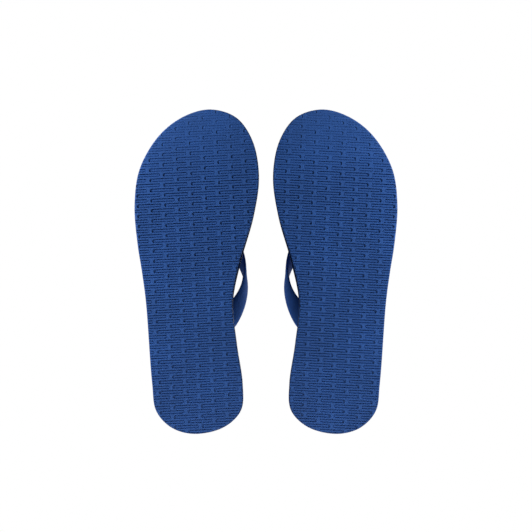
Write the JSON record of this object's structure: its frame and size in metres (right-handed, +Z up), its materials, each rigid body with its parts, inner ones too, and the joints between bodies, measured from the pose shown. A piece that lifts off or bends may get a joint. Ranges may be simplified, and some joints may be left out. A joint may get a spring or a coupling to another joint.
{
  "type": "flip flop pair",
  "caption": "Pair of blue thong sandals with flat laminated soles, a moulded ribbon strap over each instep and a toe post, left and right standing side by side.",
  "frame": {"origin": "on the floor, midway between the two sandals and halfway along them", "axes": "+Z up; toes towards -Y, heels towards +Y; the wearer's left sandal at +X and the right one at -X"},
  "size_m": [0.2186, 0.27, 0.0569],
  "materials": {
    "outsole_rubber": "matte, patterned",
    "sole_foam": "matte, fine pores",
    "strap_rubber": "satin",
    "retainer_nylon": "satin"
  },
  "bodies": {
    "left_flip_flop": {"left_outsole": "outsole_rubber", "left_midsole": "sole_foam", "left_footbed": "sole_foam", "left_strap": "strap_rubber", "left_toe_washer": "retainer_nylon", "left_inner_anchor_plate": "retainer_nylon", "left_outer_anchor_plate": "retainer_nylon"},
    "right_flip_flop": {"right_outsole": "outsole_rubber", "right_midsole": "sole_foam", "right_footbed": "sole_foam", "right_strap": "strap_rubber", "right_toe_washer": "retainer_nylon", "right_inner_anchor_plate": "retainer_nylon", "right_outer_anchor_plate": "retainer_nylon"}
  },
  "joints": [
    {"name": "right_lift", "type": "slide", "parent": "left_flip_flop", "child": "right_flip_flop", "axis": [0, 0, 1], "range_m": [0, 0.12]}
  ]
}
